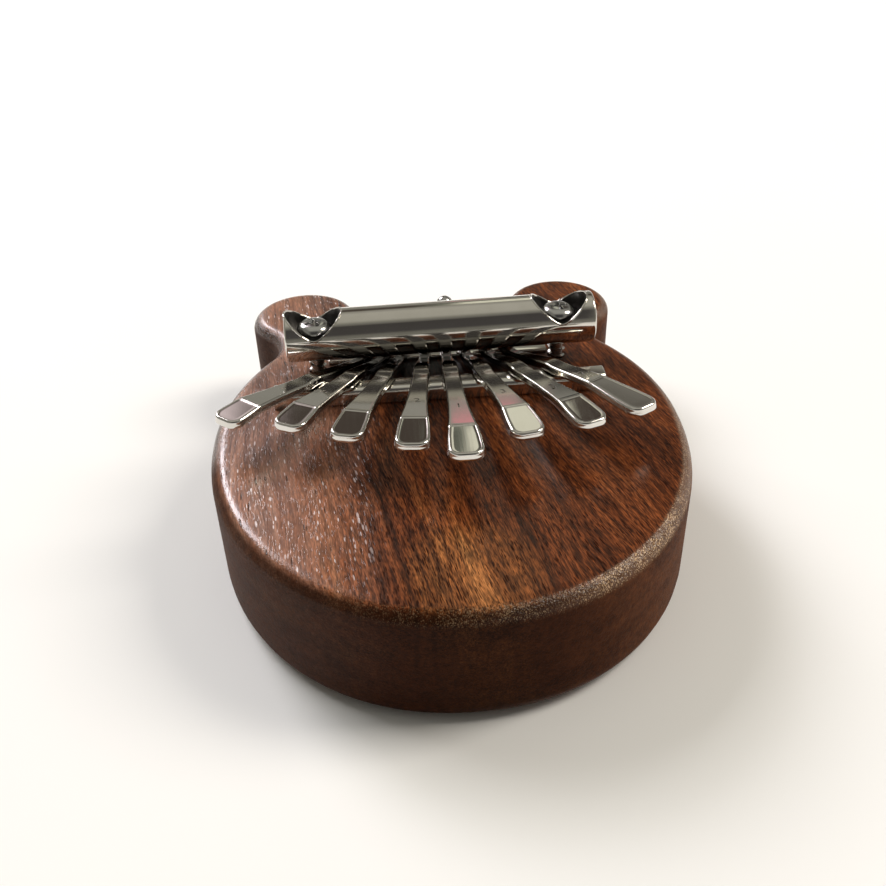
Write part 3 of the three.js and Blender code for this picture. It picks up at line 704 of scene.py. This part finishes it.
# ------------------------------------------------------------------ bridges
def build_bridge(name, node, x0, x1, y0, y1, h, r):
    sec = [(y0 + 0.15, 0.02), (y1 - 0.15, 0.02), (y1, 0.17)]
    for i in range(9):
        t = math.pi / 2 * i / 8
        sec.append((y1 - r + r * math.cos(t), h - r + r * math.sin(t)))
    for i in range(9):
        t = math.pi / 2 * (1 + i / 8)
        sec.append((y0 + r + r * math.cos(t), h - r + r * math.sin(t)))
    sec.append((y0, 0.17))
    n = len(sec)

    def ring(x, k):
        cy, cz = (y0 + y1) / 2, h / 2
        return [P(x, cy + (a - cy) * k, BODY_T + max(0.02, cz + (b - cz) * k)) for a, b in sec]

    rings = [ring(x0, 0.90), ring(x0 + 0.08, 0.96), ring(x0 + 0.25, 1.0)]
    rings += [ring(x0 + (x1 - x0) * i / 12, 1.0) for i in range(1, 12)]
    rings += [ring(x1 - 0.25, 1.0), ring(x1 - 0.08, 0.96), ring(x1, 0.90)]
    v, f = loft(rings)
    o = make_object(name, v, f, [BRIDGE_METAL], 40)
    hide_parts(node)
    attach(o, "case")


# ------------------------------------------------------------------ tines
# x over the front bridge, fan angle, free length, distance to the crease, slope of the shaft, dip of the paddle
TINES = [(-24.1, -40.0, 19.6, 13.3, 10.2, 1.0), (-16.9, -28.3, 20.3, 13.8, 10.0, 1.0), (-10.6, -15.9, 23.5, 16.2, 10.0, 1.0),
         (-4.0, -5.8, 27.2, 19.65, 10.0, 1.0), (1.25, 0.1, 31.5, 23.7, 10.0, 1.0), (7.0, 10.3, 25.9, 17.9, 10.1, 1.0),
         (13.4, 20.8, 24.7, 16.9, 9.8, 1.0), (20.1, 31.2, 22.2, 10.0, 10.0, -2.8)]
NUMERALS = [("1", 5.4), ("6", 7.4), ("4", 9.6), ("2", 12.9), ("1", 16.1), ("3", 11.4), ("5", 11.2), ("7", 6.4)]
TINE_T, BRIDGE_Y, TIP_R = 1.3, 8.3, 2.05


def tine_shape(ang, free, crease, rise, dip):
    """underside height along the tine above the playing face, and the rear end"""
    c = math.cos(rad(ang))
    bar_u, rear_u, end_u = -(19.55 - BRIDGE_Y) / c, -(22.0 - BRIDGE_Y) / c, -(23.6 - BRIDGE_Y) / c
    rs, ds = math.tan(rad(rise)), math.tan(rad(dip))
    cz = 3.68 + (crease - 2.2) * rs
    pts = [(end_u, 1.8), (rear_u, 1.4), (bar_u - 1.2, 0.94), (bar_u + 0.4, 0.70), (bar_u + 2.6, 1.0), (-4.6, 2.52), (-1.6, 3.28),
           (0.6, 3.44), (2.2, 3.68)]

    def height(u):
        if u >= 2.2:
            a = cz + (u - crease) * rs
            b = cz - 0.02 - (u - crease - 0.7) * ds
            return (a + b) / 2 - math.sqrt(((a - b) / 2) ** 2 + 0.010 ** 2)
        for i in range(len(pts) - 1):
            (x0, y0), (x1, y1) = pts[i], pts[i + 1]
            if u <= x1 or i == len(pts) - 2:
                xm, ym = pts[i - 1] if i > 0 else (2 * x0 - x1, 2 * y0 - y1)
                xp, yp = pts[i + 2] if i + 2 < len(pts) else (x1 + 2.0, y1 + 2.0 * rs)
                m0, m1 = (y1 - ym) / (x1 - xm), (yp - y0) / (xp - x0)
                h = x1 - x0
                t = (u - x0) / h
                return ((2 * t ** 3 - 3 * t * t + 1) * y0 + (t ** 3 - 2 * t * t + t) * h * m0
                        + (-2 * t ** 3 + 3 * t * t) * y1 + (t ** 3 - t * t) * h * m1)
    return height, end_u


def tine_width(free, u):
    s = free - u
    table = [(0, 2.9), (2.6, 2.9), (5.0, 2.78), (7.6, 2.52), (11.5, 2.15), (16, 1.88), (22, 1.72)]
    w = 1.72
    for (s0, w0), (s1, w1) in zip(table[:-1], table[1:]):
        if s0 <= s <= s1:
            w = w0 + (w1 - w0) * (s - s0) / (s1 - s0)
    if u < 0:
        w = min(w, 1.72) - 0.62 * min(1.0, -u / 11)
    return w


def smooth(a, b, v):
    t = min(1.0, max(0.0, (v - a) / (b - a)))
    return t * t * (3 - 2 * t)


def build_tine(i):
    x, ang, free, crease, rise, dip = TINES[i]
    height, end_u = tine_shape(ang, free, crease, rise, dip)
    ax, ay = math.sin(rad(ang)), -math.cos(rad(ang))

    def world(u, v, z):
        return P(x + ax * u - ay * v, BRIDGE_Y + ay * u + ax * v, BODY_T + z)

    # edge profile: how far in from the outline, and how high
    levels = [(0.16, 0.0, 0.0), (0.08, 0.02, 0.0), (0.02, 0.08, 0.0), (0.0, 0.16, 0.0), (0.08, 0.48, 0.0), (0.17, 0.84, 0.0)]
    rt = 0.40
    for k in range(1, 8):
        t = math.pi / 2 * k / 7
        levels.append((0.17 + rt * (1 - math.cos(t)), TINE_T - rt + rt * math.sin(t), 0.0))
    levels += [(0.63, TINE_T, 0.02), (0.70, TINE_T, 0.05), (0.78, TINE_T, 0.062)]
    uc = free - TIP_R
    plain = []
    u = end_u
    while u < crease - 0.95:
        plain.append(u)
        u += 0.5
    plain += [crease + d for d in (-0.8, -0.5, -0.32, -0.2, -0.1, 0.0, 0.1, 0.2, 0.32, 0.5, 0.8)]
    k = max(2, round((uc - crease - 1.1) / 0.6))
    plain += [crease + 1.1 + (uc - crease - 1.1) * q / k for q in range(k + 1)]
    arc = [math.pi / 2 * q / 12 for q in range(1, 13)]
    cols = 10

    def edge(j, d):
        """station j on the outline set in by d: position along and half width"""
        if j < len(plain):
            return plain[j], tine_width(free, plain[j]) - d
        t = arc[j - len(plain)]
        return uc + (TIP_R - d) * math.sin(t), 2.9 - TIP_R + (TIP_R - d) * math.cos(t)

    def put(u, v, h, drop):
        e = 0.04
        z0, z1 = height(u - e), height(u + e)
        slope = math.atan2(z1 - z0, 2 * e)
        dish = smooth(crease - 0.05, crease + 0.40, u)
        lip = 0.035 * math.exp(-((u - crease) / 0.16) ** 2) if h > 1.0 else 0.0
        hh = h - drop * dish + lip
        return world(u - math.sin(slope) * hh, v, height(u) + math.cos(slope) * hh)

    n_st = len(plain) + len(arc)
    verts, ids = [], {}

    def vid(key, p):
        if key not in ids:
            ids[key] = len(verts)
            verts.append(p)
        return ids[key]

    K = len(levels) - 1

    def side(j, k, s):
        d, h, drop = levels[k]
        u, w = edge(j, d)
        return vid(("s", j, k, s), put(u, s * w, h, drop))

    def inner(j, c, top):
        """column c from the right (0) to the left (cols) on the top or bottom face"""
        k = K if top else 0
        if c == 0:
            return side(j, k, 1)
        if c == cols:
            return side(j, k, -1)
        d, h, drop = levels[k]
        u, w = edge(j, d)
        q = 1 - 2 * c / cols
        if top:
            along = smooth(crease + 0.4, crease + 2.4, u) * (1 - smooth(free - 2.4, free - 0.7, u))
            drop = drop - 0.014 * (1 - q * q) * along
        return vid(("i", j, c, top), put(u, q * w, h, drop))

    def front(c, k):
        if k in (0, K):
            return inner(n_st - 1, c, k == K)
        if c == 0:
            return side(n_st - 1, k, 1)
        if c == cols:
            return side(n_st - 1, k, -1)
        d, h, drop = levels[k]
        u, w = edge(n_st - 1, d)
        return vid(("f", c, k), put(u, (1 - 2 * c / cols) * w, h, drop))

    faces = []
    for j in range(n_st - 1):
        for k in range(K):
            faces.append((side(j, k, 1), side(j + 1, k, 1), side(j + 1, k + 1, 1), side(j, k + 1, 1)))
            faces.append((side(j + 1, k, -1), side(j, k, -1), side(j, k + 1, -1), side(j + 1, k + 1, -1)))
        for c in range(cols):
            faces.append((inner(j, c, True), inner(j + 1, c, True), inner(j + 1, c + 1, True), inner(j, c + 1, True)))
            faces.append((inner(j + 1, c, False), inner(j, c, False), inner(j, c + 1, False), inner(j + 1, c + 1, False)))
    for c in range(cols):
        for k in range(K):
            faces.append((front(c, k), front(c + 1, k), front(c + 1, k + 1), front(c, k + 1)))
    rear = [side(0, k, 1) for k in range(K + 1)] + [inner(0, c, True) for c in range(1, cols)] + [side(0, k, -1) for k in range(K, -1, -1)]
    rear += [inner(0, c, False) for c in range(cols - 1, 0, -1)]
    faces.append(tuple(rear))
    o = make_object("tine_steel_%d" % (i + 1), verts, faces, [TINE_STEEL, ENGRAVED], 50)
    # numeral stamped into the shaft
    cu = bpy.data.curves.new("num", "FONT")
    cu.body = NUMERALS[i][0]
    cu.size = 2.4 * MM
    cu.align_x, cu.align_y = "CENTER", "CENTER"
    cu.extrude = 0.4 * MM
    cu.resolution_u = 4
    t = bpy.data.objects.new("num", cu)
    bpy.context.scene.collection.objects.link(t)
    un = NUMERALS[i][1]
    r = rad(rise)
    fwd = Vector((ax * math.cos(r), ay * math.cos(r), math.sin(r)))
    up = -fwd
    right = Vector((-ay, ax, 0.0))
    nrm = right.cross(up)
    m = Matrix((right, up, nrm)).transposed().to_4x4()
    c = world(un, 0, height(un) + TINE_T / math.cos(r))
    m.translation = c + nrm * (0.4 - 0.12) * MM
    bpy.context.view_layer.update()
    dg = bpy.context.evaluated_depsgraph_get()
    me = bpy.data.meshes.new_from_object(t.evaluated_get(dg), depsgraph=dg)
    me.transform(m)
    me.materials.clear()
    me.materials.append(ENGRAVED)
    bm = bmesh.new()
    bm.from_mesh(me)
    bmesh.ops.remove_doubles(bm, verts=bm.verts, dist=2e-6)
    bmesh.ops.recalc_face_normals(bm, faces=bm.faces)
    bm.to_mesh(me)
    bm.free()
    co = bpy.data.objects.new("numcut", me)
    bpy.context.scene.collection.objects.link(co)
    bpy.data.objects.remove(t)
    cutters = [co]
    if i == 0:
        ring = [(0.28 * math.cos(2 * math.pi * k / 16), 0.28 * math.sin(2 * math.pi * k / 16)) for k in range(16)]
        dc = c + up * 1.5 * MM
        vv, ff = loft([[dc + right * a * MM + up * b * MM + nrm * h * MM for a, b in ring] for h in (-0.12, 0.5)])
        cutters.append(make_object("dot", vv, ff, [ENGRAVED]))
    cut(o, cutters, angle=50)
    tidy(o)
    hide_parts("tine_%d" % (i + 1))
    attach(o, "key_%d" % (i + 1))


# ------------------------------------------------------------------ forehead pin
def build_pin():
    def place(a, b, h):
        return P(2.45 + a, 39.6 + b, BODY_T + h)
    prof = [(0, -7.0), (0.8, -6.0), (1.05, -5.0), (1.05, 0.0), (2.2, 0.02), (2.25, 0.10), (2.25, 0.5)]
    for i in range(1, 12):
        t = math.pi / 2 * i / 12
        prof.append((2.25 * math.cos(t), 0.5 + 3.3 * math.sin(t)))
    prof.append((0, 3.8))
    v, f = lathe(prof, 56, place)
    o = make_object("forehead_pin_steel", v, f, [SCREW_METAL], 35)
    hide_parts("forehead_pin")
    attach(o, "case")


build_body()
build_board()
build_bar()
build_screw("clamp_screw_left_steel", -1, 28)
build_screw("clamp_screw_right_steel", 1, 12)
build_bridge("front_bridge_chrome", "front_bridge", -30.0, 28.6, 6.2, 10.4, 3.0, 1.0)
build_bridge("rear_bridge_chrome", "rear_bridge", -20.8, 20.3, 21.0, 22.9, 0.75, 0.33)
for k in range(8):
    build_tine(k)
build_pin()


# ------------------------------------------------------------------ floor, light
def stage():
    n = 96
    r = 3.0
    verts = [Vector((r * math.cos(2 * math.pi * i / n), r * math.sin(2 * math.pi * i / n), -0.0002)) for i in range(n)]
    floor = make_object("floor", verts, [tuple(range(n))], [])
    m, nn, b = material("floor_pale")
    co = nn.new("ShaderNodeTexCoord").outputs["Object"]
    g = nn.noise(co, 6.0, 2.0)
    nn.put(b.inputs["Base Color"], nn.ramp(g, [(0.3, (0.86, 0.86, 0.86)), (0.7, (0.89, 0.89, 0.885))]))
    nn.put(b.inputs["Roughness"], 0.8)
    floor.data.materials.append(m)

    def area(name, pos, aim, size, power, colour):
        d = bpy.data.lights.new(name, "AREA")
        d.shape = "RECTANGLE"
        d.size, d.size_y = size
        d.energy = power
        d.color = colour
        o = bpy.data.objects.new(name, d)
        bpy.context.scene.collection.objects.link(o)
        o.location = pos
        o.rotation_mode = "QUATERNION"
        o.rotation_quaternion = (Vector(aim) - Vector(pos)).to_track_quat("-Z", "Y")
        return o

    key = area("key_back_left", (-0.95, 0.95, 1.15), (0, 0, 0), (0.9, 0.9), 19.0, (1.0, 0.985, 0.965))
    key.visible_glossy = False
    area("side_right", (1.15, 0.12, 1.12), (0, 0, 0), (0.55, 0.85), 16.0, (1.0, 0.93, 0.83))
    area("window_back_left", (-0.86, 1.32, 1.02), (0, 0, 0), (0.6, 0.7), 11.5, (0.97, 0.94, 1.0))

    world = bpy.data.worlds.new("studio")
    world.use_nodes = True
    bpy.context.scene.world = world
    w = Nodes(world.node_tree)
    out = w.new("ShaderNodeOutputWorld")
    bg = w.new("ShaderNodeBackground")
    w.t.links.new(bg.outputs[0], out.inputs[0])
    d = w.new("ShaderNodeTexCoord").outputs["Generated"]
    s = w.new("ShaderNodeSeparateXYZ", {}, {0: d}).outputs
    # angle from the front horizon over the top to the back horizon
    turn = w.math("MULTIPLY", w.math("ARCTAN2", s[2], w.math("MULTIPLY", s[1], -1.0)), 1 / math.pi)
    warm = (1.0, 0.965, 0.84)

    def g(v, c=warm):
        return tuple(v * k for k in c)

    over = w.ramp(turn, [(0.0, g(0.20)), (0.06, g(0.16)), (0.12, g(0.065, (1, 0.93, 0.9))), (0.30, g(0.060, (1, 0.92, 0.88))), (0.38, g(0.26)),
                         (0.44, g(0.42)), (0.64, g(0.44)), (0.72, g(0.30)), (0.765, g(0.075, (1, 0.80, 0.66))), (0.815, g(0.070, (1, 0.80, 0.66))),
                         (0.87, g(0.26)), (1.0, g(0.34))])
    # side walls
    col = w.mix(w.step(w.math("ABSOLUTE", s[0]), 0.30, 0.55), over, g(0.24))
    # a pale window at the back left, a cream card at the back right, a low pink card behind
    back = w.step(s[1], 0.35, 0.60)

    def window(x0, x1, x2, x3, z0, z1, z2, z3):
        across = w.math("MULTIPLY", w.step(s[0], x0, x1), w.step(s[0], x3, x2))
        up = w.math("MULTIPLY", w.step(s[2], z0, z1), w.step(s[2], z3, z2))
        return w.math("MULTIPLY", w.math("MULTIPLY", across, up), back)

    col = w.mix(window(-0.46, -0.34, -0.230, -0.110, 0.40, 0.48, 0.72, 0.80), col, (0.95, 0.80, 0.82))
    col = w.mix(window(0.030, 0.052, 0.064, 0.076, 0.48, 0.53, 0.70, 0.74), col, g(0.15, (0.95, 1.0, 0.80)))
    col = w.mix(window(0.064, 0.078, 0.168, 0.182, 0.49, 0.53, 0.70, 0.74), col, g(0.80, (1.0, 0.98, 0.80)))
    col = w.mix(window(0.053, 0.059, 0.095, 0.105, 0.2195, 0.2215, 0.262, 0.270), col, (0.74, 0.31, 0.33))
    col = w.mix(window(0.100, 0.118, 0.250, 0.280, 0.085, 0.098, 0.240, 0.255), col, (0.050, 0.050, 0.044))
    w.put(bg.inputs[0], col)
    w.put(bg.inputs[1], 1.0)


stage()
sc = bpy.context.scene
sc.view_settings.view_transform = "Standard"
sc.view_settings.look = "None"
sc.view_settings.exposure = 0.0
